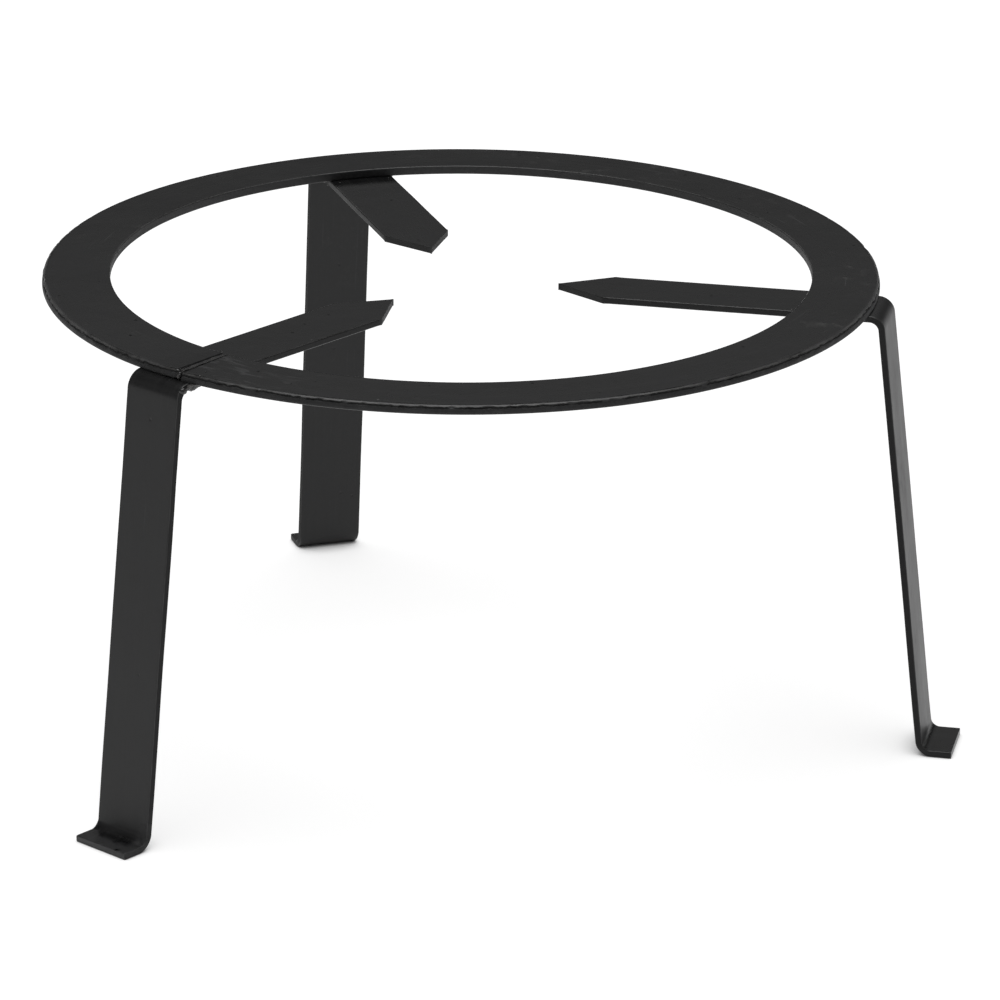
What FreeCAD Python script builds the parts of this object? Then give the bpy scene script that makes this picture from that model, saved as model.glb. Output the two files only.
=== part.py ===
"""Propane burner stand: a flat pot ring welded on three bent flat-bar legs.

Millimetres, +Z up. The origin is where the ring's axis meets the floor. One leg stands at
the back on +Y, the other two at the front left and the front right.
"""
import FreeCAD, Part
import math
import os

V = FreeCAD.Vector
Z_AXIS = V(0, 0, 1)

# ---- driving dimensions -------------------------------------------------------------------
HEIGHT = 208.0            # floor to the ring's top
RING_OUTER_D = 370.0
BAR_WIDTH = 30.0          # every piece is cut from 30 mm flat bar
RING_THICKNESS = 4.0
LEG_THICKNESS = 3.0
EDGE_ROUND = 0.6          # rolled corners of the bar
OUTER_TOP_ROUND = 2.2     # the ring's outer top corner, drawn down as the bar was bent on edge

TIP_R = 44.0              # axis to the point of each finger
POINT_LENGTH = 23.0       # the symmetric cut that makes the point
KNEE_R = 191.0            # axis to the sharp corner of the shank's outer face and the finger's top
SPLAY_DEG = 6.6           # the shank leans outwards by this much
FOOT_END_R = 227.0        # axis to the end of each foot
BEND_INNER_R = 4.0        # inside radius of both bends
LEG_AZIMUTHS = {"front_left": 210.0, "back": 90.0, "front_right": 330.0}

SEAM_AZIMUTH = 212.6      # where the hoop is closed, over the front left finger
SEAM_WIDTH = 1.6          # opening between the hoop's two ends, at the middle of the bar
SEAM_SUNK = 0.3           # the ground weld lies this far below the ring's top
SEAM_LUMP_R = 2.2         # weld metal left on the hoop's outer edge

BEAD_LEG = 3.2            # size of the fillet welds between a leg's edges and the ring
BEAD_PITCH = 2.6          # spacing of the ripples along a fillet weld
BEAD_START_R = 158.5      # inner end of every fillet weld
BEAD_END_R = 182.0        # outer end of the fillet welds that stay under the ring
LONG_BEAD_END_R = 187.0   # outer end of the one that runs out past the ring's edge
LONG_BEAD = ("front_left", "right")

# ---- what follows from them ---------------------------------------------------------------
RING_OUTER_R = RING_OUTER_D / 2
RING_INNER_R = RING_OUTER_R - BAR_WIDTH
RING_UNDERSIDE = HEIGHT - RING_THICKNESS
FINGER_UNDERSIDE = RING_UNDERSIDE - LEG_THICKNESS
HALF_WIDTH = BAR_WIDTH / 2
SEAM_ANGLE = math.degrees(SEAM_WIDTH / (RING_OUTER_R - HALF_WIDTH))
SPLAY = math.radians(SPLAY_DEG)
BEND_OUTER_R = BEND_INNER_R + LEG_THICKNESS
CLEAR = 1.0               # how far cutting tools reach past what they cut


def rounded_path(corners):
    """Edges through (r, z, radius) corners in the XZ plane, with a tangent arc at each radius."""
    edges = []
    last = None
    for i, (r, z, radius) in enumerate(corners):
        here = V(r, 0, z)
        if radius == 0:
            start = end = here
        else:
            before = (V(*_xz(corners[i - 1])) - here).normalize()
            after = (V(*_xz(corners[i + 1])) - here).normalize()
            half = before.getAngle(after) / 2
            reach = radius / math.tan(half)
            start = here + before * reach
            end = here + after * reach
            bisector = (before + after).normalize()
            middle = here + bisector * (radius / math.sin(half) - radius)
        if last is not None:
            edges.append(Part.LineSegment(last, start).toShape())
        if radius:
            edges.append(Part.Arc(start, middle, end).toShape())
        last = end
    return edges


def _xz(corner):
    return corner[0], 0, corner[1]


def closed_face(corners):
    """Face inside a closed outline of (r, z, radius) corners; the first corner is sharp."""
    return Part.Face(Part.Wire(rounded_path(corners + [corners[0]])))


def turned(shape, azimuth):
    """The shape, built along +X, turned about the ring's axis to its azimuth."""
    shape.rotate(V(0, 0, 0), Z_AXIS, azimuth)
    return shape


# ---- the ring -----------------------------------------------------------------------------
def bar_on_edge(top, start, sweep):
    """Flat bar bent on edge into an arc about the axis, from a start azimuth through a sweep."""
    section = closed_face([
        (RING_INNER_R + HALF_WIDTH, RING_UNDERSIDE, 0),
        (RING_OUTER_R, RING_UNDERSIDE, EDGE_ROUND), (RING_OUTER_R, top, OUTER_TOP_ROUND),
        (RING_INNER_R, top, EDGE_ROUND), (RING_INNER_R, RING_UNDERSIDE, EDGE_ROUND)])
    return turned(section.revolve(V(0, 0, 0), Z_AXIS, sweep), start)


def make_ring():
    """The hoop, open by the width of its weld."""
    return bar_on_edge(HEIGHT, SEAM_AZIMUTH + SEAM_ANGLE / 2, 360 - SEAM_ANGLE)


def make_seam_weld():
    """Weld metal that fills the gap, ground just below the top, with a lump on the outer edge."""
    fill = bar_on_edge(HEIGHT - SEAM_SUNK, SEAM_AZIMUTH - SEAM_ANGLE / 2, SEAM_ANGLE)
    lump = Part.makeSphere(SEAM_LUMP_R, V(RING_OUTER_R, 0, HEIGHT - SEAM_LUMP_R))
    lump = turned(lump, SEAM_AZIMUTH).cut(bar_on_edge(HEIGHT, 0, 360))
    return fill.fuse(lump).removeSplitter()


# ---- a leg --------------------------------------------------------------------------------
def leg_profile():
    """Side view of the bent bar: finger, knee, shank, ankle and foot."""
    run = math.tan(SPLAY)
    across = LEG_THICKNESS / math.cos(SPLAY)
    foot_corner_r = KNEE_R + run * (RING_UNDERSIDE - LEG_THICKNESS)
    knee_inside_r = KNEE_R + run * LEG_THICKNESS - across
    ankle_outside_r = KNEE_R + run * RING_UNDERSIDE - across
    return closed_face([
        (TIP_R, RING_UNDERSIDE, 0),
        (KNEE_R, RING_UNDERSIDE, BEND_OUTER_R),
        (foot_corner_r, LEG_THICKNESS, BEND_INNER_R),
        (FOOT_END_R, LEG_THICKNESS, 0),
        (FOOT_END_R, 0, 0),
        (ankle_outside_r, 0, BEND_OUTER_R),
        (knee_inside_r, FINGER_UNDERSIDE, BEND_INNER_R),
        (TIP_R, FINGER_UNDERSIDE, 0)])


def make_leg(azimuth):
    profile = leg_profile()
    profile.translate(V(0, -HALF_WIDTH, 0))
    bar = profile.extrude(V(0, BAR_WIDTH, 0))
    bar = bar.makeFillet(EDGE_ROUND, [edge for edge in bar.Edges if runs_along_bar(edge)])
    for side in (-1, 1):
        bar = bar.cut(point_offcut(side))
    return turned(bar, azimuth)


def runs_along_bar(edge):
    """True for the bar's four long corners, which the rolling mill leaves rounded."""
    on_a_side = all(abs(abs(vertex.Y) - HALF_WIDTH) < 1e-6 for vertex in edge.Vertexes)
    same_side = edge.Vertexes[0].Y * edge.Vertexes[-1].Y > 0
    across_thickness = edge.Length < LEG_THICKNESS + 1e-6 and edge.Curve.TypeId == "Part::GeomLine"
    return on_a_side and same_side and not across_thickness


def point_offcut(side):
    """The triangle sheared off one corner of the finger to make its point."""
    wide = HALF_WIDTH + CLEAR
    shoulder = TIP_R + POINT_LENGTH * wide / HALF_WIDTH
    outline = [V(TIP_R, 0, 0), V(shoulder, side * wide, 0), V(TIP_R - CLEAR, side * wide, 0),
               V(TIP_R - CLEAR, 0, 0)]
    for point in outline:
        point.z = FINGER_UNDERSIDE - CLEAR
    face = Part.Face(Part.makePolygon(outline + outline[:1]))
    return face.extrude(V(0, 0, LEG_THICKNESS + 2 * CLEAR))


# ---- the fillet welds ---------------------------------------------------------------------
def make_bead(azimuth, side, end_r):
    """Rippled weld in the corner of the ring's underside and one edge of the finger."""
    count = round((end_r - BEAD_START_R) / BEAD_PITCH)
    ripples = []
    for i in range(count + 1):
        at = V(BEAD_START_R + (end_r - BEAD_START_R) * i / count, side * HALF_WIDTH, RING_UNDERSIDE)
        ripples.append(Part.makeSphere(BEAD_LEG, at))
    corner = Part.makeBox(end_r - BEAD_START_R + 4 * BEAD_LEG, 2 * BEAD_LEG, LEG_THICKNESS,
                          V(BEAD_START_R - 2 * BEAD_LEG, HALF_WIDTH, FINGER_UNDERSIDE))
    if side < 0:
        corner = corner.mirror(V(0, 0, 0), V(0, 1, 0))
    bead = ripples[0].multiFuse(ripples[1:]).common(corner)
    return turned(bead.removeSplitter(), azimuth)


# ---- write every piece --------------------------------------------------------------------
def main():
    nodes = {"ring": make_ring(), "ring_seam_weld": make_seam_weld()}
    for place, azimuth in LEG_AZIMUTHS.items():
        nodes["leg_" + place] = make_leg(azimuth)
        for side_name, side in (("left", -1), ("right", 1)):
            long_one = (place, side_name) == LONG_BEAD
            end_r = LONG_BEAD_END_R if long_one else BEAD_END_R
            nodes["weld_" + place + "_" + side_name] = make_bead(azimuth, side, end_r)

    os.makedirs("parts", exist_ok=True)
    for name, shape in nodes.items():
        shape.exportStep("parts/" + name + ".step")
        print(name, "solids", len(shape.Solids), "valid", shape.isValid(),
              "volume_mm3", round(shape.Volume, 1))


main()
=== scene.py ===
"""Propane burner stand: the looks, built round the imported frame. Metres, +Z up."""
import math

import bmesh
import bpy
import numpy as np
from mathutils import Matrix, Vector, noise


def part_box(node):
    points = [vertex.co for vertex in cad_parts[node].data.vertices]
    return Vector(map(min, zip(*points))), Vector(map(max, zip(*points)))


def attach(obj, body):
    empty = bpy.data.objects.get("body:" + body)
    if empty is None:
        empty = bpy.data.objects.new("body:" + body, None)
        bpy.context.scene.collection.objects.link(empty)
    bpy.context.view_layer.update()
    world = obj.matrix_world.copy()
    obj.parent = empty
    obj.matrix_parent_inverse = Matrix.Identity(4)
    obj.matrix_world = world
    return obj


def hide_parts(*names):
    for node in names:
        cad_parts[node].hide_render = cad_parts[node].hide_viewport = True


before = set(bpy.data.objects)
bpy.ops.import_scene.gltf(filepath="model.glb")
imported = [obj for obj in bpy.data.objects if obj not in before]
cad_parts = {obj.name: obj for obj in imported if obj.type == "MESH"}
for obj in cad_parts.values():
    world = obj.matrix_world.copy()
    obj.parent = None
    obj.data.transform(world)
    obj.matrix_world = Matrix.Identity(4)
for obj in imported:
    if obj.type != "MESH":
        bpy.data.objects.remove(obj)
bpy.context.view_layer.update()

MM = 0.001

# ---- what the frame says ------------------------------------------------------------------
RING_LOW, RING_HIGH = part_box("ring")
RING_R = (RING_HIGH.x - RING_LOW.x) / 2
RING_TOP = RING_HIGH.z
RING_UNDER = RING_LOW.z
BACK_LOW, BACK_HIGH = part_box("leg_back")
BAR = BACK_HIGH.x - BACK_LOW.x
RING_IN = RING_R - BAR
TIP_R = BACK_LOW.y
FOOT_R = BACK_HIGH.y
LEG_AZIMUTHS = {"front_left": 210.0, "back": 90.0, "front_right": 330.0}

# ---- the bar's own sizes ------------------------------------------------------------------
LEG_T = 3.0 * MM
POINT = 23.0 * MM
KNEE_R = 191.0 * MM
SPLAY = math.radians(6.6)
BEND_R = 5.5 * MM          # bends, at the middle of the thickness
CORNER = 0.6 * MM          # rolled corners of the bar
SEAM_AZIMUTH = 212.6
SEAM_ANGLE = math.degrees(1.6 * MM / (RING_R - BAR / 2))


# ---- camera -------------------------------------------------------------------------------
# fitted to the ring's outline and the legs' places in the photograph, to about three pixels
CAMERA_TURN = math.radians(-17.58)      # round the stand from straight in front of it
CAMERA_DISTANCE = 2.4112                # level, from the ring's axis
CAMERA_HEIGHT = 0.9849
CAMERA_YAW = CAMERA_TURN - 0.00739      # almost at the axis
CAMERA_PITCH = 0.35222
CAMERA_ROLL = 0.00589
CAMERA_LENS = 206.1
SENSOR_WIDTH = 36.0
FAR_CLIP = 50.0


def make_camera():
    """The photograph's view: from the front, turned a little towards the seam's leg."""
    data = bpy.data.cameras.new("camera")
    data.sensor_width = SENSOR_WIDTH
    data.lens = CAMERA_LENS
    data.clip_end = FAR_CLIP
    camera = bpy.data.objects.new("camera", data)
    bpy.context.scene.collection.objects.link(camera)
    where = Vector((CAMERA_DISTANCE * math.sin(CAMERA_TURN),
                    -CAMERA_DISTANCE * math.cos(CAMERA_TURN), CAMERA_HEIGHT))
    tilt = Matrix.Rotation(math.pi / 2 - CAMERA_PITCH, 4, "X")
    facing = Matrix.Rotation(CAMERA_YAW, 4, "Z") @ tilt
    roll = Matrix.Rotation(CAMERA_ROLL, 4, "Z")
    camera.matrix_world = Matrix.Translation(where) @ facing @ roll
    bpy.context.scene.camera = camera


make_camera()


# ---- mesh helpers -------------------------------------------------------------------------
def smoothstep(low, high, x):
    t = np.clip((x - low) / (high - low), 0.0, 1.0)
    return t * t * (3 - 2 * t)


def wander(x, seed, step, octaves=3):
    """Smooth noise between about -1 and 1 along x, whose largest swings are about one step long."""
    total = np.zeros(len(x))
    for octave in range(octaves):
        scale = 2.0 ** octave
        total += [noise.noise(Vector((v * scale / step, 7.3 * seed, 3.1 * octave))) / scale
                  for v in x]
    return total


# the four corners of a bar's section, each as its sides across and through the bar: top inner,
# top outer, low outer and low inner
CORNER_SIDES = np.array([(-1, 1), (1, 1), (1, -1), (-1, -1)])


def section_plan(across, through, corner=5):
    """How a rounded rectangle's outline is made up, going round once from its top inner corner.

    Each row is the corner it leaves, the corner it nears, its share of the way between them, and
    its normal across and through the bar.
    """
    arc = np.linspace(0, math.pi / 2, corner + 1)[1:-1]
    rows = []
    for i, count in enumerate((across, through, across, through)):
        facing = i * math.pi / 2
        following = (i + 1) % 4
        shares = (1 + np.sin(np.linspace(-math.pi / 2, math.pi / 2, count + 1))) / 2
        rows += [(i, following, share, math.sin(facing), math.cos(facing)) for share in shares]
        rows += [(following, following, 0, math.sin(facing + t), math.cos(facing + t)) for t in arc]
    return np.array(rows, float)


def outline(plan, half_width, half_thickness, radii):
    """Across and through coordinates of the outline, a row for each station.

    radii is one corner radius, one per corner, or an array of (stations, 4).
    """
    half_width, half_thickness = (np.atleast_1d(v)[:, None] for v in (half_width, half_thickness))
    radii = np.broadcast_to(radii, (max(len(half_width), len(half_thickness)), 4))
    share, normal_across, normal_through = plan[:, 2:].T

    def centre(which):
        radius = radii[:, which]
        sides = CORNER_SIDES[which].T
        return np.stack([sides[0] * (half_width - radius),
                         sides[1] * (half_thickness - radius), radius])

    left, near = (centre(plan[:, column].astype(int)) for column in (0, 1))
    across, through, radius = left + (near - left) * share
    return across + radius * normal_across, through + radius * normal_through


def loft(name, points, local, facing=None, smooth_angle=38.0):
    """Closed mesh through rings of points, an array of (stations, points per ring, 3).

    For the materials it keeps two attributes: "bar", from local, which has the same shape and
    holds the bar's own coordinates (along, across, through), and "facing", which is 0 on the
    bar's faces, 1 or -1 on its narrow edges and in between on its corners.
    """
    stations, around, _ = points.shape
    vertex = np.arange(stations * around).reshape(stations, around)
    here, there = vertex[:-1], vertex[1:]
    quads = np.stack([here, np.roll(here, -1, 1), np.roll(there, -1, 1), there], -1).reshape(-1, 4)
    faces = quads.tolist() + [vertex[0][::-1].tolist(), vertex[-1].tolist()]
    mesh = bpy.data.meshes.new(name)
    mesh.from_pydata(points.reshape(-1, 3).tolist(), [], faces)
    bar = mesh.attributes.new("bar", "FLOAT_VECTOR", "POINT")
    bar.data.foreach_set("vector", local.reshape(-1).astype(np.float32))
    if facing is not None:
        edge = mesh.attributes.new("facing", "FLOAT", "POINT")
        edge.data.foreach_set("value", np.tile(facing, stations).astype(np.float32))
    return finished(mesh, smooth_angle)


def finished(mesh, smooth_angle=38.0):
    """Mesh with its normals outwards, smooth but for its real edges."""
    work = bmesh.new()
    work.from_mesh(mesh)
    bmesh.ops.recalc_face_normals(work, faces=work.faces)
    work.to_mesh(mesh)
    work.free()
    mesh.shade_smooth()
    mesh.set_sharp_from_angle(angle=math.radians(smooth_angle))
    return mesh


def add_piece(name, mesh, node, material):
    piece = bpy.data.objects.new(name, mesh)
    bpy.context.scene.collection.objects.link(piece)
    mesh.materials.append(material)
    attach(piece, "root")
    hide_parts(node)


def merged(name, meshes):
    """One mesh that holds several closed ones."""
    work = bmesh.new()
    for mesh in meshes:
        work.from_mesh(mesh)
        bpy.data.meshes.remove(mesh)
    mesh = bpy.data.meshes.new(name)
    work.to_mesh(mesh)
    work.free()
    return finished(mesh)


def blob(centre, radii, seed, rough=0.12, detail=3):
    """A lump of weld metal: a ball with its surface pushed about a little."""
    work = bmesh.new()
    bmesh.ops.create_icosphere(work, subdivisions=detail, radius=1.0)
    for v in work.verts:
        push = 1 + rough * noise.noise(v.co * 1.7 + Vector((seed * 5.1, 0, seed)))
        v.co = Vector(centre) + Vector(c * r for c, r in zip(v.co * push, radii))
    mesh = bpy.data.meshes.new("blob")
    work.to_mesh(mesh)
    work.free()
    return mesh


def outward(azimuth):
    """Unit vectors of a leg at an azimuth: outwards, and to its right seen from outside."""
    turn = math.radians(azimuth)
    return (np.array([math.cos(turn), math.sin(turn), 0.0]),
            np.array([-math.sin(turn), math.cos(turn), 0.0]))


UP = np.array([0.0, 0.0, 1.0])


# ---- the ring -----------------------------------------------------------------------------
RING_STATIONS = 1400
DISH = -0.18 * MM          # a bar bent on edge thins towards its stretched outer edge
OUTER_TOP_ROUND = 2.2 * MM
RING_RADII = (CORNER, OUTER_TOP_ROUND, CORNER, CORNER)
HOOP_END_ROUND = 0.5 * MM
LAP_DOWN = 1.05 * MM       # from the ring's top to the ragged lap on its outer edge
LAP_DEPTH = 0.42 * MM
NICK_DOWN = 0.8 * MM       # from the ring's top to the middle of a nick in its corner
HOOP_WAVE = 0.25 * MM      # how far the hoop strays from round
HOOP_LIFT = 0.22 * MM      # and from level
PROUD_END = 0.35 * MM
LOW_END = 0.45 * MM
SEAM_SUNK = 0.21 * MM      # the seam's fill lies this far below the ring's top


def ring_mesh():
    plan = section_plan(across=10, through=7, corner=9)
    first = SEAM_AZIMUTH + SEAM_ANGLE / 2
    turn = np.radians(np.linspace(first, first + 360 - SEAM_ANGLE, RING_STATIONS))
    along = (turn - turn[0]) * (RING_R - BAR / 2)
    total = along[-1]
    ends = np.minimum(along, total - along)
    round_end = HOOP_END_ROUND * np.sqrt(np.clip(1 - ends / HOOP_END_ROUND, 0, 1))
    half_t = (RING_TOP - RING_UNDER) / 2
    a, b = outline(plan, BAR / 2 - round_end, half_t - round_end, RING_RADII)

    # under the drawn-down corner the outer edge has a ragged lap, set back and easing out again
    # towards the bottom, and the corner has small nicks
    on_edge = smoothstep(0.45, 0.8, plan[:, 3])
    lap_at = half_t - LAP_DOWN + 0.20 * MM * wander(along, 5, 0.012, 5)[:, None]
    under_lap = lap_at - b
    lap = smoothstep(-0.12 * MM, 0.12 * MM, under_lap)
    lap = lap * (1 - smoothstep(0.3 * MM, 2.2 * MM, under_lap))
    depth = LAP_DEPTH * smoothstep(-0.6, 0.2, wander(along, 9, 0.007, 4))[:, None]
    a = a - on_edge * lap * depth
    nick = smoothstep(0.25, 0.5, wander(along, 21, 0.0045, 3))[:, None]
    shoulder = np.exp(-(((b - half_t + NICK_DOWN) / (0.45 * MM)) ** 2))
    shoulder = shoulder * smoothstep(0.25, 0.5, plan[:, 3])
    a = a - 0.45 * MM * nick * shoulder
    b = b - 0.12 * MM * nick * shoulder

    # the hoop isn't quite true
    radius = RING_R - BAR / 2 + a + HOOP_WAVE * wander(along, 2, 0.16)[:, None]
    fade = smoothstep(0.0, 0.03, ends)
    height = (RING_TOP + RING_UNDER) / 2 + b + DISH * (a + BAR / 2) / BAR
    height = height + (HOOP_LIFT * wander(along, 3, 0.2) * fade)[:, None]
    # its two ends don't meet level: one was left a little proud and the other a little low
    proud = PROUD_END * np.exp(-(total - along) / (9 * MM))
    low = LOW_END * np.exp(-along / (8 * MM))
    outer_side = 0.4 + 0.6 * (a + BAR / 2) / BAR
    height = height + (proud - low)[:, None] * outer_side
    points = np.stack([radius * np.cos(turn)[:, None], radius * np.sin(turn)[:, None], height], -1)
    local = np.stack([np.broadcast_to(along[:, None], a.shape), a, b], -1)
    return loft("ring", points, local, plan[:, 3])


def seam_weld_mesh():
    """The butt weld: a ground fill a little below the ring's top, and lumps at the outer edge."""
    plan = section_plan(across=20, through=5, corner=5)
    half = SEAM_ANGLE / 2 * 1.25
    turn = np.radians(np.linspace(SEAM_AZIMUTH - half, SEAM_AZIMUTH + half, 9))
    half_t = (RING_TOP - RING_UNDER) / 2 - SEAM_SUNK / 2
    a, b = outline(plan, BAR / 2 - 0.7 * MM, half_t, RING_RADII)
    a, b = np.repeat(a, len(turn), 0), np.repeat(b, len(turn), 0)
    rough = np.array([[noise.noise(Vector((x * 900, i * 0.6, 4.0))) for x in row]
                      for i, row in enumerate(a)])
    radius = RING_R - BAR / 2 + a
    height = (RING_TOP + RING_UNDER - SEAM_SUNK) / 2 + b + DISH * (a + BAR / 2) / BAR
    height = height + 0.12 * MM * rough * plan[:, 4]
    points = np.stack([radius * np.cos(turn)[:, None], radius * np.sin(turn)[:, None], height], -1)
    along = np.linspace(0, 2 * MM, len(turn))
    local = np.stack([np.broadcast_to(along[:, None], a.shape), a, b], -1)
    out, right = outward(SEAM_AZIMUTH)
    meshes = [loft("fill", points, local)]
    # each lump, in millimetres: how far out, to the right and up from the ring's outer lower
    # edge, and its radii
    lumps = [(-0.5, 0.2, 1.5, (1.2, 1.1, 1.2)), (-0.1, 0.9, 2.2, (0.9, 0.8, 0.7)),
             (-0.9, 0.4, 2.9, (1.0, 1.0, 0.6))]
    for i, (away, side, up, size) in enumerate(lumps):
        centre = out * (RING_R + away * MM) + right * side * MM + UP * (RING_UNDER + up * MM)
        meshes.append(blob(centre, [s * MM for s in size], seed=i + 3))
    return merged("seam_weld", meshes + spatter(seed=11, count=5, place=on_ring_near_seam))


def on_ring_near_seam(rng):
    """A place on the ring's top close to its seam."""
    turn = math.radians(SEAM_AZIMUTH + rng.normal(0, 2.2))
    radius = RING_R - abs(rng.normal(0, 5)) * MM - 0.8 * MM
    lift = DISH * (radius - RING_IN) / BAR
    return np.array([radius * math.cos(turn), radius * math.sin(turn), RING_TOP + lift])


def spatter(seed, count, place):
    """Little balls of weld metal stuck to the steel round a weld."""
    rng = np.random.default_rng(seed)
    balls = []
    for i in range(count):
        size = rng.uniform(0.22, 0.5) * MM
        balls.append(blob(place(rng), [size, size, size * 0.8], seed + i, detail=2))
    return balls


# ---- a leg --------------------------------------------------------------------------------
SHEARED_CORNER = 0.22 * MM
TIP_HALF_WIDTH = 0.35 * MM
END_EASE = 0.35 * MM
BEND_SWELL = 0.022         # a share of the bar's width, as it bends
TEAR = 0.09 * MM           # how rough the sheared sides of the point are
BOW = 0.22 * MM
TWIST = math.radians(0.5)


def leg_line():
    """Stations along the middle of the bent bar: radius, height, direction, distance and bend.

    Direction is the angle below horizontal; bend is 1 in the middle of a bend and 0 on a straight.
    """
    run = math.tan(SPLAY)
    inset = LEG_T / 2 / math.cos(SPLAY)
    finger_z, foot_z = RING_UNDER - LEG_T / 2, LEG_T / 2
    knee = np.array([KNEE_R + run * LEG_T / 2 - inset, finger_z])
    ankle = np.array([KNEE_R + run * (RING_UNDER - foot_z) - inset, foot_z])
    down = math.pi / 2 - SPLAY
    reach = BEND_R * math.tan(down / 2)
    shank = np.array([math.sin(SPLAY), -math.cos(SPLAY)])
    places, directions, bends = [], [], []

    def straight(start, end, direction, step):
        count = max(2, round(float(np.hypot(*(end - start))) / step))
        for t in np.linspace(0, 1, count + 1)[:-1]:
            places.append(start + (end - start) * t)
            directions.append(direction)
            bends.append(0.0)

    def bent(start, angles):
        """An arc that starts at a point, turning through a run of direction angles."""
        sign = 1 if angles[-1] > angles[0] else -1
        centre = start - sign * BEND_R * np.array([math.sin(angles[0]), math.cos(angles[0])])
        for i, angle in enumerate(angles[:-1]):
            places.append(centre + sign * BEND_R * np.array([math.sin(angle), math.cos(angle)]))
            directions.append(angle)
            bends.append(math.sin(math.pi * i / (len(angles) - 1)))

    tip = np.array([TIP_R, finger_z])
    shoulder = tip + [POINT, 0]
    straight(tip, shoulder, 0.0, 1.0 * MM)
    straight(shoulder, knee - [reach, 0], 0.0, 2.5 * MM)
    bent(knee - [reach, 0], np.linspace(0, down, 19))
    straight(knee + shank * reach, ankle - shank * reach, down, 2.5 * MM)
    bent(ankle - shank * reach, np.linspace(down, 0, 19))
    foot_end = np.array([FOOT_R, foot_z])
    straight(ankle + [reach, 0], foot_end - [0.8 * MM, 0], 0.0, 1.2 * MM)
    for back in (0.8, 0.55, 0.35, 0.18, 0.06, 0.0):
        places.append(foot_end - [back * MM, 0])
        directions.append(0.0)
        bends.append(0.0)
    places = np.array(places)
    steps = np.hypot(*np.diff(places, axis=0).T)
    distance = np.concatenate([[0.0], np.cumsum(steps)])
    return places[:, 0], places[:, 1], np.array(directions), distance, np.array(bends)


def leg_mesh(name, azimuth, seed):
    r, z, direction, along, bend = leg_line()
    plan = section_plan(across=16, through=6)
    total = along[-1]
    sheared = along < POINT
    half_w = np.where(sheared, np.maximum(along / POINT * BAR / 2, TIP_HALF_WIDTH), BAR / 2)
    corner = np.where(sheared, SHEARED_CORNER, CORNER)
    corner = np.minimum(corner, half_w * 0.6)
    # the cut end of the foot is eased a little
    short_of_end = END_EASE - np.minimum(total - along, END_EASE)
    end_inset = END_EASE - np.sqrt(np.clip(END_EASE ** 2 - short_of_end ** 2, 0, None))
    half_t = LEG_T / 2 * (1 - 0.04 * bend) - end_inset
    a, b = outline(plan, half_w - end_inset, half_t, np.minimum(corner, half_t * 0.8)[:, None])
    # a bent bar swells on the inside of the bend and draws in on the outside
    inside = -b / (LEG_T / 2)
    knee = along < total / 2
    inside = np.where(knee[:, None], inside, -inside)
    a = a * (1 + BEND_SWELL * bend[:, None] * inside)
    # the sheared sides of the point are a little rough
    broken = sheared * smoothstep(0, 0.004, along)
    tear = np.array([[noise.noise(Vector((s * 700, t * 900, seed))) for t in row]
                     for s, row in zip(along, b)])
    a = a + plan[:, 3] * broken[:, None] * TEAR * tear
    # the long edges and faces aren't quite straight
    a = a * (1 + 0.008 * wander(along, seed, 0.05)[:, None])
    bow = BOW * wander(along, seed + 40, 0.09) * smoothstep(0.16, 0.19, along)
    bow = bow * smoothstep(0.0, 0.03, total - along)
    twist = TWIST * wander(along, seed + 60, 0.15) * smoothstep(0.16, 0.2, along)
    twist = twist * smoothstep(0.0, 0.05, total - along)
    b = b + bow[:, None] + a * np.sin(twist)[:, None]

    out, right = outward(azimuth)
    normal_r, normal_z = np.sin(direction), np.cos(direction)
    radius = r[:, None] + b * normal_r[:, None]
    height = z[:, None] + b * normal_z[:, None]
    points = radius[..., None] * out + a[..., None] * right + height[..., None] * UP
    local = np.stack([np.broadcast_to(along[:, None], a.shape), a, b], -1)
    return loft(name, points, local, plan[:, 3])


# ---- the fillet welds ---------------------------------------------------------------------
BEAD_START_R = 158.5 * MM
BEAD_END_R = 182.0 * MM
PAST_EDGE_R = 184.6 * MM   # where the one long bead turns down the knee
BEAD_STEP = 0.2 * MM
BEAD_SIZE = 2.7 * MM
BEAD_END_ROUND = 2.2 * MM
BEAD_PITCH = 1.9 * MM      # from one ripple to the next
MOST_RIPPLES = 60
CORNER_SWELL_AT = 26.2 * MM
CORNER_SWELL_REACH = 2.5 * MM


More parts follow.
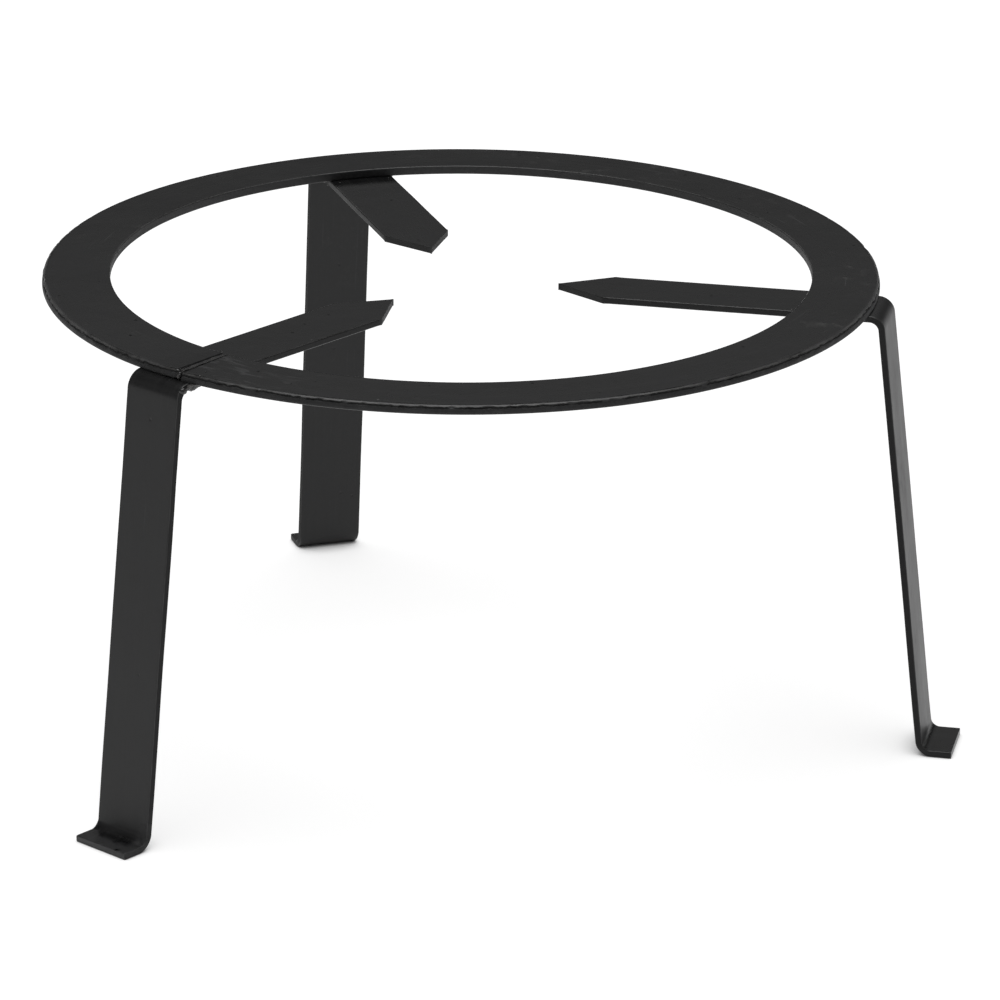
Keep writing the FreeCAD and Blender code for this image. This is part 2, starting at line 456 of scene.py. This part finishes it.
def bead_mesh(azimuth, side, seed, past_edge=False):
    """Rippled weld along the corner of the ring's underside and one edge of a leg.

    past_edge carries it out beyond the ring and a little way down the edge of the knee.
    """
    rng = np.random.default_rng(seed)
    path, lean = [], []
    for r in np.arange(BEAD_START_R, PAST_EDGE_R if past_edge else BEAD_END_R, BEAD_STEP):
        path.append((r, RING_UNDER))
        lean.append(0.0)
    if past_edge:
        bend_outer = BEND_R + LEG_T / 2
        start_r = path[-1][0]
        for angle in np.radians(np.arange(2, 46, 2.0)):
            path.append((start_r + bend_outer * math.sin(angle),
                         RING_UNDER - bend_outer * (1 - math.cos(angle))))
            lean.append(angle)
    path, lean = np.array(path), np.array(lean)
    along = np.concatenate([[0.0], np.cumsum(np.hypot(*np.diff(path, axis=0).T))])
    total = along[-1]
    pitches = BEAD_PITCH * rng.uniform(0.8, 1.25, MOST_RIPPLES)
    crests = np.cumsum(pitches) - BEAD_PITCH
    phase = np.interp(along, crests, np.arange(MOST_RIPPLES))
    size = BEAD_SIZE * (1 + 0.10 * wander(along, seed, 0.012))
    if past_edge:
        swollen = np.exp(-((along - CORNER_SWELL_AT) / CORNER_SWELL_REACH) ** 2)
        size = size * (1 - 0.30 * smoothstep(0.0, 0.7, lean)) * (1 + 0.18 * swollen)
    end = np.minimum(np.minimum(along, total - along) / BEAD_END_ROUND, 1)
    size = size * np.sqrt(np.clip(1 - (1 - end) ** 2, 0.02, 1))
    arc = np.linspace(0, math.pi / 2, 15)
    # each ripple is a crescent: it lags at the toes and leads in the middle of the face
    ripple = np.abs(np.sin(math.pi * (phase[:, None] + 0.45 * np.cos(2 * arc) ** 2)))
    swell = 1 + 0.16 * (ripple ** 0.6 - 0.6) * np.sin(2 * arc)
    reach = size[:, None] * swell
    aside = reach * np.cos(arc)
    below = reach * np.sin(arc)
    # its back is tucked a little into the leg, and stops just short of the ring
    tuck = np.full((len(along), 1), -0.25 * MM)
    short = np.full((len(along), 1), 0.05 * MM)
    aside = np.concatenate([aside, tuck, tuck], 1)
    below = np.concatenate([below, below[:, -1:], short], 1)

    out, right = outward(azimuth)
    radius = path[:, 0][:, None] - below * np.sin(lean)[:, None]
    height = path[:, 1][:, None] - below * np.cos(lean)[:, None]
    across = side * (BAR / 2 + aside)
    points = radius[..., None] * out + across[..., None] * right + height[..., None] * UP
    local = np.stack([np.broadcast_to(along[:, None], aside.shape), aside, below], -1)
    return loft("bead", points, local, smooth_angle=70)


def weld_mesh(place, azimuth, side, seed):
    """One fillet weld with the spatter that it left on the leg and the ring beside it."""
    past_edge = (place, side) == ("front_left", 1)
    out, right = outward(azimuth)

    def beside(rng):
        """A place on the leg's edge face or on the ring's underside, near the weld."""
        r = rng.uniform(BEAD_START_R - 6 * MM, BEAD_END_R)
        if rng.random() < 0.5:
            return out * r + right * side * (BAR / 2 + rng.uniform(3.5, 9) * MM) + UP * RING_UNDER
        return out * r + right * side * BAR / 2 + UP * (RING_UNDER - rng.uniform(2.7, 2.9) * MM)

    def on_finger(rng):
        """A place on the finger's top just inside the ring, where sparks landed."""
        r = RING_IN - abs(rng.normal(0, 5)) * MM - 1 * MM
        return out * r + right * side * rng.uniform(3, 14) * MM + UP * RING_UNDER

    meshes = [bead_mesh(azimuth, side, seed, past_edge)]
    meshes += spatter(seed, 5, beside)
    meshes += spatter(seed + 50, 1, on_finger)
    if past_edge:
        corner = out * (KNEE_R - 2.2 * MM) + right * (BAR / 2 + 0.4 * MM)
        corner = corner + UP * (RING_UNDER - 2.4 * MM)
        meshes.append(blob(corner, [1.7 * MM, 1.2 * MM, 1.5 * MM], seed + 7))
    return merged("weld", meshes)


# ---- materials ----------------------------------------------------------------------------
class Nodes:
    """Short hand for building a node tree."""

    def __init__(self, name):
        self.material = bpy.data.materials.new(name)
        self.material.use_nodes = True
        self.tree = self.material.node_tree
        self.shader = self.tree.nodes["Principled BSDF"]

    def add(self, kind, **settings):
        node = self.tree.nodes.new("ShaderNode" + kind)
        for key, value in settings.items():
            setattr(node, key, value)
        return node

    def link(self, source, target):
        if isinstance(source, (int, float, tuple)):
            target.default_value = source
        else:
            self.tree.links.new(source, target)

    def math(self, operation, first, second=0.0, third=None, clamp=False):
        node = self.add("Math", operation=operation, use_clamp=clamp)
        self.link(first, node.inputs[0])
        self.link(second, node.inputs[1])
        if third is not None:
            self.link(third, node.inputs[2])
        return node.outputs[0]

    def vector(self, operation, first, second):
        node = self.add("VectorMath", operation=operation)
        self.link(first, node.inputs[0])
        self.link(second, node.inputs[1])
        return node.outputs[0]

    def noise(self, where, scale, detail=3.0, roughness=0.55, distortion=0.0):
        node = self.add("TexNoise")
        self.link(where, node.inputs["Vector"])
        for socket, value in (("Scale", scale), ("Detail", detail), ("Roughness", roughness),
                              ("Distortion", distortion)):
            node.inputs[socket].default_value = value
        return node.outputs["Fac"]

    def ramp(self, value, low, high, low_out=0.0, high_out=1.0):
        node = self.add("MapRange", interpolation_type="SMOOTHSTEP")
        self.link(value, node.inputs["Value"])
        for socket, setting in (("From Min", low), ("From Max", high), ("To Min", low_out),
                                ("To Max", high_out)):
            self.link(setting, node.inputs[socket])
        return node.outputs["Result"]

    def mix(self, factor, first, second):
        node = self.add("Mix", data_type="RGBA")
        self.link(factor, node.inputs["Factor"])
        for socket, value in ((6, first), (7, second)):
            self.link(value, node.inputs[socket])
        return node.outputs[2]

    def bump(self, height, strength, distance, before=None):
        node = self.add("Bump")
        node.inputs["Strength"].default_value = strength
        node.inputs["Distance"].default_value = distance
        self.link(height, node.inputs["Height"])
        if before is not None:
            self.link(before, node.inputs["Normal"])
        return node.outputs["Normal"]


BLACK = (0.0045, 0.0045, 0.0048, 1)
SOFT_BLACK = (0.0085, 0.0085, 0.0087, 1)
RUBBED = (0.045, 0.045, 0.046, 1)
# the corners' pale crests: partly wear, partly a painted highlight
CREST_WEAR_AND_HIGHLIGHT = (0.085, 0.084, 0.082, 1)
DUST = (0.085, 0.084, 0.082, 1)
# painted shade, in the pits and along the ring's lap line
PAINTED_SHADE = (0.002, 0.002, 0.002, 1)
WELD_BLACK = (0.018, 0.0175, 0.0175, 1)
# the weld crests' pale colour: partly wear, partly painted glints
CREST_WEAR_AND_GLINT = (0.11, 0.107, 0.103, 1)
COAT_SPECULAR = 0.34
COAT_IOR = 1.47

# in metres along the bar or across it
SHANK_LEAD_IN = 0.008
SHANK_LEAD_OUT = 0.006
FOOT_RUB_START = (0.030, 0.022)    # before the bar's end, as the next one is
FOOT_RUB_END = (0.009, 0.004)
FOOT_RUB_SIDE = (0.007, 0.012)


def coated_bar(name, seed, edge_wear, crest_wear_and_highlight, marks, edge_tone=0.0, lap_shade_height=None, scuffed=0.0,
               shank=None, foot_end=None):
    """Satin black coating on rolled flat bar: streaks along the bar, rubbed corners, specks.

    edge_wear is how strongly the corners are rubbed and crest_wear_and_highlight how pale their
    crests are, partly wear and partly a painted highlight; marks is how strong the dust and
    scratches are, and edge_tone how much lighter the narrow edges are; lap_shade_height is how high
    a ragged line of painted shade runs on the outer edge, above the middle of the thickness;
    scuffed is how far rub marks reach along the bar from its start; shank is where the bar's
    upright part starts and ends, which is duller than its fingers and feet; foot_end is the bar's
    length, where its foot is rubbed pale along its end and one side.
    """
    n = Nodes(name)
    bar = n.add("Attribute", attribute_name="bar").outputs["Vector"]
    place = n.add("NewGeometry").outputs["Position"]
    place = n.vector("ADD", place, (seed * 1.37, seed * 0.61, 0.0))
    split = n.add("SeparateXYZ")
    n.link(bar, split.inputs[0])
    facing = n.math("ABSOLUTE", n.add("Attribute", attribute_name="facing").outputs["Fac"])

    streak_place = n.vector("MULTIPLY", bar, (14.0, 420.0, 420.0))
    streaks = n.noise(streak_place, 1.0, 4.0, 0.6)
    clouds = n.noise(place, 22.0, 4.0, 0.6)
    mottle = n.noise(place, 160.0, 4.0, 0.65)
    grain = n.noise(place, 1700.0, 2.0, 0.5)
    peel = n.noise(place, 650.0, 2.0, 0.5)

    tone = n.math("MULTIPLY_ADD", clouds, 0.55, n.math("MULTIPLY", streaks, 0.45))
    colour = n.mix(n.ramp(tone, 0.36, 0.66), BLACK, SOFT_BLACK)
    dusty = n.math("MULTIPLY", n.ramp(mottle, 0.52, 0.74), n.ramp(clouds, 0.5, 0.68))
    colour = n.mix(n.math("MULTIPLY", dusty, 0.35 * marks), colour, DUST)

    # corners rubbed lighter, in broken stretches, and paler still at their crests, partly wear and
    # partly a painted highlight along the corner
    corner = n.math("MULTIPLY", n.ramp(facing, 0.05, 0.35), n.ramp(facing, 0.75, 0.97, 1.0, 0.0))
    crest = n.math("MULTIPLY", n.ramp(facing, 0.3, 0.5), n.ramp(facing, 0.6, 0.8, 1.0, 0.0))
    patchy = n.ramp(n.noise(place, 48.0, 4.0, 0.7), 0.36, 0.58)
    rubbed = n.math("MULTIPLY", n.math("MULTIPLY", corner, patchy), edge_wear)
    colour = n.mix(rubbed, colour, RUBBED)
    # the pale crests are partly wear and partly a painted highlight
    pale_crest_wear_and_highlight = n.math("MULTIPLY", n.math("MULTIPLY", crest, crest_wear_and_highlight),
                  n.ramp(n.noise(place, 60.0, 6.0, 0.75), 0.28, 0.62))
    colour = n.mix(pale_crest_wear_and_highlight, colour, CREST_WEAR_AND_HIGHLIGHT)

    # fine scratches along the bar and tiny light specks
    scratch_place = n.vector("ADD", bar, (0.0, seed * 0.3, 0.0))
    scratch = n.noise(n.vector("MULTIPLY", scratch_place, (26.0, 900.0, 900.0)), 1.0, 1.0, 0.5, 0.6)
    scratches = n.math("MULTIPLY", n.ramp(scratch, 0.705, 0.735), n.ramp(clouds, 0.45, 0.6))
    if scuffed:
        close = n.ramp(split.outputs["X"], scuffed * 0.3, scuffed, 1.0, 0.0)
        scuff = n.noise(n.vector("MULTIPLY", bar, (75.0, 330.0, 330.0)), 1.0, 2.0, 0.5, 0.8)
        scratches = n.math("MULTIPLY_ADD", close, n.ramp(scuff, 0.56, 0.72), scratches, clamp=True)
    colour = n.mix(n.math("MULTIPLY", scratches, 0.4 * marks), colour, RUBBED)
    specks = n.add("TexVoronoi", feature="F1")
    n.link(place, specks.inputs["Vector"])
    specks.inputs["Scale"].default_value = 95.0
    dot = n.ramp(specks.outputs["Distance"], 0.035, 0.075, 1.0, 0.0)
    chosen = n.add("SeparateColor")
    n.link(specks.outputs["Color"], chosen.inputs[0])
    dot = n.math("MULTIPLY", dot, n.ramp(chosen.outputs[0], 0.955, 0.965))
    colour = n.mix(n.math("MULTIPLY", dot, 0.8), colour, DUST)
    # pits: small dents in the bump, with painted shade in them
    pits = n.add("TexVoronoi", feature="F1")
    n.link(n.vector("ADD", place, (3.1, 1.7, 0.4)), pits.inputs["Vector"])
    pits.inputs["Scale"].default_value = 210.0
    hole = n.ramp(pits.outputs["Distance"], 0.05, 0.2, 1.0, 0.0)
    picked = n.add("SeparateColor")
    n.link(pits.outputs["Color"], picked.inputs[0])
    hole = n.math("MULTIPLY", hole, n.ramp(picked.outputs[1], 0.93, 0.95))
    colour = n.mix(n.math("MULTIPLY", hole, 0.7), colour, PAINTED_SHADE)

    # the narrow edges are rougher than the rolled faces
    edge = n.ramp(facing, 0.8, 0.98)
    chips = n.noise(place, 900.0, 3.0, 0.6)
    chipped = n.ramp(chips, 0.3, 0.6, edge_tone * 0.6, edge_tone)
    colour = n.mix(n.math("MULTIPLY", edge, chipped), colour, RUBBED)
    # the lap line: painted shade along a ragged line on the outer edge, which is also rougher and
    # dented in
    if lap_shade_height is not None:
        wobble = n.math("MULTIPLY_ADD", n.noise(place, 260.0, 5.0, 0.7), 0.0018, lap_shade_height - 0.0009)
        off_line = n.math("ABSOLUTE", n.math("SUBTRACT", split.outputs["Z"], wobble))
        lap = n.math("MULTIPLY", n.ramp(off_line, 0.0002, 0.0005, 1.0, 0.0),
                     n.ramp(split.outputs["Y"], BAR / 2 - 0.0018, BAR / 2 - 0.0010))
        lap = n.math("MULTIPLY", lap, n.ramp(n.noise(place, 130.0, 3.0), 0.34, 0.46))
        colour = n.mix(lap, colour, PAINTED_SHADE)
    if foot_end is not None:
        by_side = n.ramp(split.outputs["Y"], *FOOT_RUB_SIDE)
        by_end = n.ramp(split.outputs["X"], *(foot_end - reach for reach in FOOT_RUB_END))
        on_foot = n.ramp(split.outputs["X"], *(foot_end - reach for reach in FOOT_RUB_START))
        pale = n.math("MULTIPLY", n.math("MAXIMUM", by_side, by_end), on_foot)
        pale = n.math("MULTIPLY", pale, n.ramp(n.noise(place, 230.0, 4.0, 0.65), 0.32, 0.52))
        colour = n.mix(n.math("MULTIPLY", pale, 0.6), colour, RUBBED)
    if shank is not None:
        starts, ends = shank
        dull = n.math("MULTIPLY", n.ramp(split.outputs["X"], starts - SHANK_LEAD_IN, starts),
                      n.ramp(split.outputs["X"], ends, ends + SHANK_LEAD_OUT, 1.0, 0.0))
        colour = n.mix(n.math("MULTIPLY", dull, 0.14), colour, RUBBED)
    n.link(colour, n.shader.inputs["Base Color"])

    rough = n.math("MULTIPLY_ADD", clouds, 0.16, n.math("MULTIPLY_ADD", streaks, 0.16, 0.07))
    if shank is not None:
        rough = n.math("MULTIPLY_ADD", dull, 0.17, rough)
    rough = n.math("MULTIPLY_ADD", edge, 0.34, rough)
    if lap_shade_height is not None:
        rough = n.math("MULTIPLY_ADD", lap, 0.4, rough)
    if foot_end is not None:
        rough = n.math("MULTIPLY_ADD", pale, 0.2, rough)
    rough = n.math("MULTIPLY_ADD", mottle, 0.06, rough)
    rough = n.math("MULTIPLY_ADD", dusty, 0.2 * marks, rough)
    rough = n.math("MULTIPLY_ADD", rubbed, 0.12, rough, clamp=True)
    n.link(rough, n.shader.inputs["Roughness"])

    normal = n.bump(clouds, 0.4, 0.0005)
    normal = n.bump(streaks, 0.2, 0.00008, normal)
    normal = n.bump(peel, 0.3, 0.00006, normal)
    normal = n.bump(grain, 0.2, 0.00003, normal)
    normal = n.bump(hole, 0.8, -0.00016, normal)
    normal = n.bump(n.math("MULTIPLY", chips, edge), 0.6, 0.00012, normal)
    if lap_shade_height is not None:
        normal = n.bump(lap, 0.9, -0.0003, normal)
    n.link(normal, n.shader.inputs["Normal"])
    n.shader.inputs["Specular IOR Level"].default_value = COAT_SPECULAR
    n.shader.inputs["IOR"].default_value = COAT_IOR
    return n.material


def coated_weld(name):
    """The same black over weld metal, greyer in patches; its crests are paler, partly from wear and
    partly a painted highlight of the glints on them.
    """
    n = Nodes(name)
    place = n.add("NewGeometry").outputs["Position"]
    cloud = n.noise(place, 260.0, 4.0, 0.6)
    fine = n.noise(place, 1500.0, 3.0, 0.6)
    pointed = n.ramp(n.add("NewGeometry").outputs["Pointiness"], 0.5, 0.56)
    colour = n.mix(n.ramp(cloud, 0.35, 0.65), BLACK, WELD_BLACK)
    # paler crests: partly wear, partly painted glints
    crest_wear_and_glint = n.math("MULTIPLY", pointed, n.ramp(cloud, 0.42, 0.6))
    colour = n.mix(n.math("MULTIPLY", crest_wear_and_glint, 0.8), colour, CREST_WEAR_AND_GLINT)
    n.link(colour, n.shader.inputs["Base Color"])
    rough = n.math("MULTIPLY_ADD", cloud, 0.25, n.math("MULTIPLY_ADD", fine, 0.1, 0.08))
    n.link(rough, n.shader.inputs["Roughness"])
    normal = n.bump(cloud, 0.5, 0.0002)
    normal = n.bump(fine, 0.3, 0.00005, normal)
    n.link(normal, n.shader.inputs["Normal"])
    return n.material


# ---- floor and light ----------------------------------------------------------------------
WALLS, DARK, SOFT_BOX = 0.32, 0.04, 3.7
# how far up the sky each begins and ends: 0 is the horizon and 1 straight overhead
WALLS_START = (0.245, 0.38)
WALLS_END = (0.44, 0.62)
SOFT_BOX_START = (0.86, 0.93)
FLOOR_R = 14.0
FLOOR_GLOW = 0.72
FLOOR_FADE = (0.5, 2.2)    # metres from the axis, each counted by FLOOR_SHARES, over which the floor's painted pool of light fades out
FLOOR_SHARES = (1.0, 0.45, 0.0)
# how far the painted contact shadow round the feet reaches
CONTACT_REACH = 0.016
# the floor's colour near the stand and far off; the step between them is a painted pool of light
FLOOR_NEAR = ((0.45, 0.45, 0.45, 1), (0.48, 0.48, 0.48, 1))
FLOOR_FAR = (0.36, 0.36, 0.36, 1)
WHITE = (1.0, 1.0, 1.0, 1)


def make_floor():
    """A pale disc that glows a little, as a light table does; a painted pool of light makes it
    darker and glow less far off, and a painted contact shadow dims its glow close to where
    something touches it.
    """
    mesh = bpy.data.meshes.new("floor")
    work = bmesh.new()
    bmesh.ops.create_circle(work, cap_ends=True, segments=96, radius=FLOOR_R)
    work.to_mesh(mesh)
    work.free()
    floor = bpy.data.objects.new("floor", mesh)
    bpy.context.scene.collection.objects.link(floor)
    n = Nodes("pale_floor")
    place = n.add("NewGeometry").outputs["Position"]
    away = n.add("VectorMath", operation="LENGTH")
    n.link(n.vector("MULTIPLY", place, FLOOR_SHARES), away.inputs[0])
    # painted pool of light: the floor is darker and glows less away from the stand
    near = n.mix(n.noise(place, 3.0), *FLOOR_NEAR)
    fade = n.ramp(away.outputs["Value"], *FLOOR_FADE)
    n.link(n.mix(fade, near, FLOOR_FAR), n.shader.inputs["Base Color"])
    n.shader.inputs["Emission Color"].default_value = WHITE
    glow = n.ramp(fade, 0.0, 1.0, FLOOR_GLOW, FLOOR_GLOW * 0.7)
    # painted contact shadow: the glow is dimmed where the floor is occluded close to the feet
    painted_contact_shadow = n.add("AmbientOcclusion", samples=6)
    painted_contact_shadow.inputs["Distance"].default_value = CONTACT_REACH
    glow = n.math("MULTIPLY", glow, n.ramp(painted_contact_shadow.outputs["AO"], 0.15, 0.85, 0.0, 1.0))
    n.link(glow, n.shader.inputs["Emission Strength"])
    n.shader.inputs["Roughness"].default_value = 0.9
    n.shader.inputs["Specular IOR Level"].default_value = 0.1
    mesh.materials.append(n.material)


def make_light():
    """A big soft box overhead, a dim wall 18 to 32 degrees up, and near darkness elsewhere."""
    world = bpy.data.worlds.new("studio")
    world.use_nodes = True
    tree = world.node_tree
    background = tree.nodes["Background"]
    where = tree.nodes.new("ShaderNodeTexCoord")
    split = tree.nodes.new("ShaderNodeSeparateXYZ")
    tree.links.new(where.outputs["Generated"], split.inputs[0])

    def step(low, high, low_out, high_out):
        node = tree.nodes.new("ShaderNodeMapRange")
        node.interpolation_type = "SMOOTHSTEP"
        tree.links.new(split.outputs["Z"], node.inputs["Value"])
        for socket, value in (("From Min", low), ("From Max", high), ("To Min", low_out),
                              ("To Max", high_out)):
            node.inputs[socket].default_value = value
        return node.outputs["Result"]

    total = tree.nodes.new("ShaderNodeMath")
    total.operation = "ADD"
    band = tree.nodes.new("ShaderNodeMath")
    band.operation = "MULTIPLY_ADD"
    tree.links.new(step(*WALLS_START, 0.0, WALLS), band.inputs[0])
    tree.links.new(step(*WALLS_END, 1.0, 0.0), band.inputs[1])
    band.inputs[2].default_value = DARK
    tree.links.new(band.outputs[0], total.inputs[0])
    tree.links.new(step(*SOFT_BOX_START, 0.0, SOFT_BOX), total.inputs[1])
    tree.links.new(total.outputs[0], background.inputs["Strength"])
    background.inputs["Color"].default_value = WHITE
    bpy.context.scene.world = world
    bpy.context.scene.view_settings.view_transform = "Standard"


# ---- put it together ----------------------------------------------------------------------
def build():
    ring_steel = coated_bar("ring_black", 1, 0.85, 0.75, 1.7, 0.45, lap_shade_height=0.9 * MM,
                            scuffed=70 * MM)
    _, _, direction, along, _ = leg_line()
    shank = along[direction == direction.max()][[0, -1]].tolist()
    leg_steel = coated_bar("leg_black", 2, 0.6, 0.45, 0.4, shank=shank)
    scuffed_leg = coated_bar("leg_black_scuffed", 2, 0.6, 0.45, 0.4, shank=shank,
                             foot_end=float(along[-1]))
    weld_black = coated_weld("weld_black")
    add_piece("ring_bar", ring_mesh(), "ring", ring_steel)
    add_piece("ring_seam", seam_weld_mesh(), "ring_seam_weld", weld_black)
    for seed, (place, azimuth) in enumerate(LEG_AZIMUTHS.items(), start=1):
        leg = "leg_" + place
        steel = scuffed_leg if place == "front_left" else leg_steel
        add_piece(leg + "_bar", leg_mesh(leg, azimuth, seed), leg, steel)
        for side_name, side in (("left", -1), ("right", 1)):
            weld = "weld_" + place + "_" + side_name
            mesh = weld_mesh(place, azimuth, side, seed * 10 + side)
            add_piece(weld + "_bead", mesh, weld, weld_black)


build()
make_floor()
make_light()
